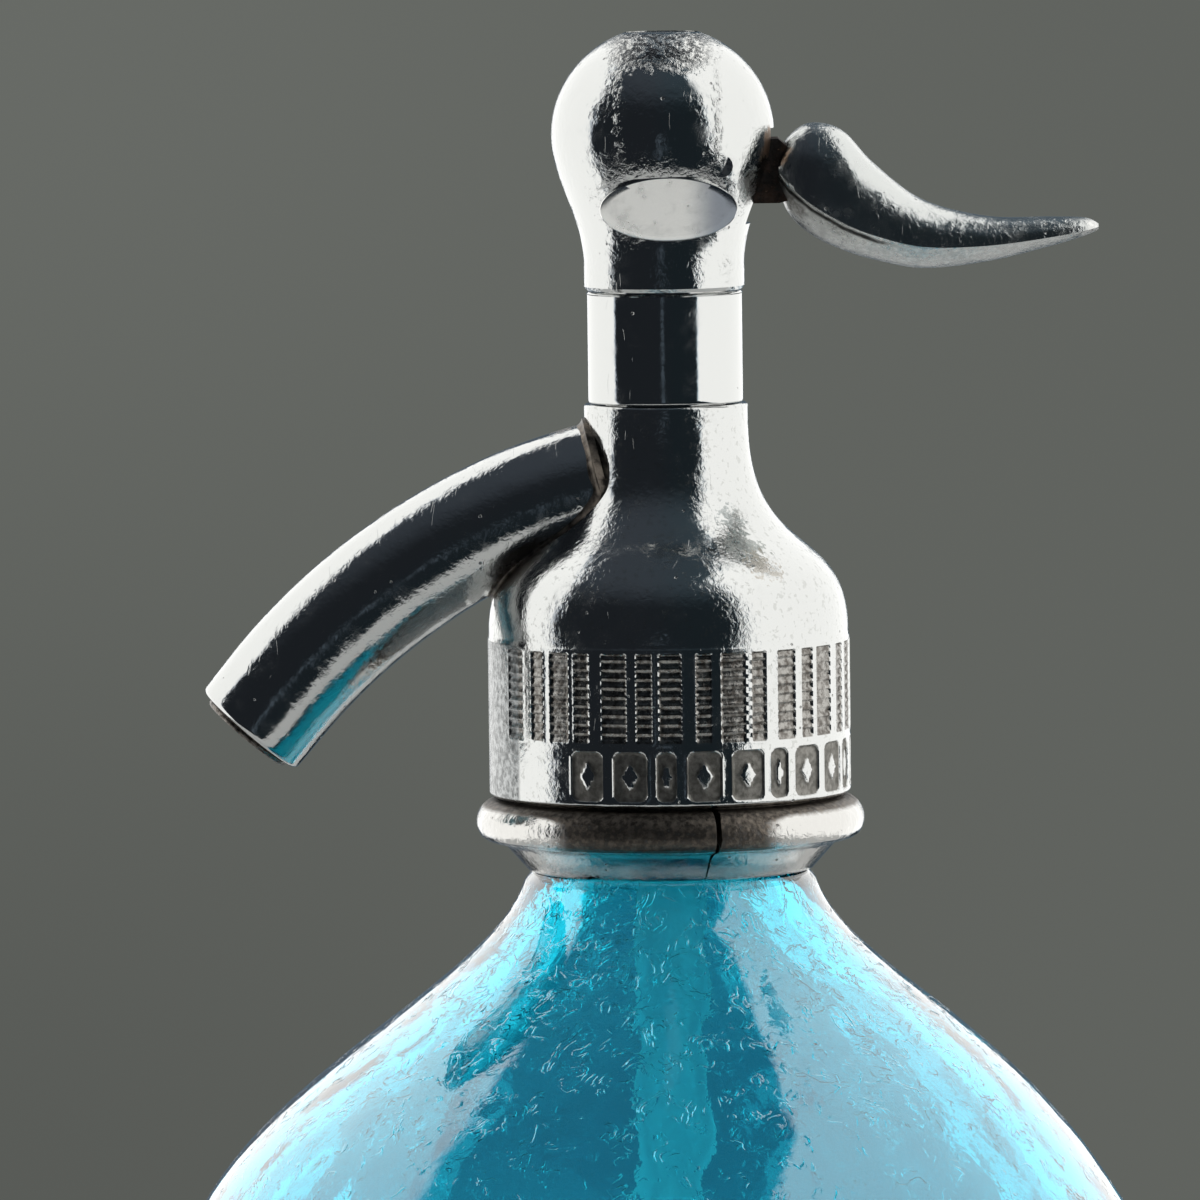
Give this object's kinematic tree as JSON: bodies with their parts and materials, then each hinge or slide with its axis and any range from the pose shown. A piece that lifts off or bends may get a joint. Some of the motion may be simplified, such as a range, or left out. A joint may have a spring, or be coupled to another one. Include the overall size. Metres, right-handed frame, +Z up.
{
  "type": "soda siphon",
  "caption": "Glass soda siphon with a cast metal head, a bent spout, a split collar and a thumb lever that lifts a sprung valve.",
  "frame": {"origin": "centre of the ring that the bottle stands on", "axes": "+Z up along the bottle's axis, -X towards the spout, +X towards the lever's tip"},
  "size_m": [0.115, 0.115, 0.2998],
  "materials": {
    "bottle_glass": "turquoise glass with a hammered texture",
    "tube_glass": "clear glass",
    "head_metal": "polished and pitted tin alloy",
    "spout_metal": "polished tin alloy",
    "collar_metal": "dull polished tin alloy with grime",
    "lever_metal": "worn polished tin alloy",
    "rusty_steel": "dark rusted steel",
    "inner_metal": "plain steel",
    "brass": "turned brass",
    "rubber": "black rubber"
  },
  "bodies": {
    "siphon": {"bottle": "bottle_glass", "dip_tube": "tube_glass", "tube_grommet": "rubber", "tube_holder": "inner_metal", "mouth_gasket": "rubber", "collar_half_left": "collar_metal", "collar_half_right": "collar_metal", "head_body": "head_metal", "spout": "spout_metal", "valve_seat": "brass", "valve_barrel": "head_metal", "gland_packing": "rubber", "gland_nut": "brass", "return_spring": "inner_metal", "ball_housing": "head_metal", "top_plug": "head_metal", "lever_pivot_pin": "inner_metal"},
    "lever": {"lever_arm": "rusty_steel", "lever_handle": "lever_metal"},
    "valve": {"valve_spindle": "inner_metal", "lifting_nut": "brass", "seal_cup": "brass", "valve_seal": "rubber", "spring_washer": "inner_metal"}
  },
  "joints": [
    {"name": "lever_press", "type": "hinge", "parent": "siphon", "child": "lever", "pos_m": [0.0065, 0, 0.285], "axis": [0, 1, 0], "range_deg": [0, 18], "stiffness_Nm_per_rad": 0.34, "springref_deg": -65.89},
    {"name": "valve_lift", "type": "slide", "parent": "siphon", "child": "valve", "axis": [0, 0, 1], "range_m": [0, 0.0021], "deforming": ["return_spring"]}
  ],
  "couplings": [
    {"joint": "valve_lift", "follows": "lever_press", "m_per_rad": 0.0065}
  ]
}
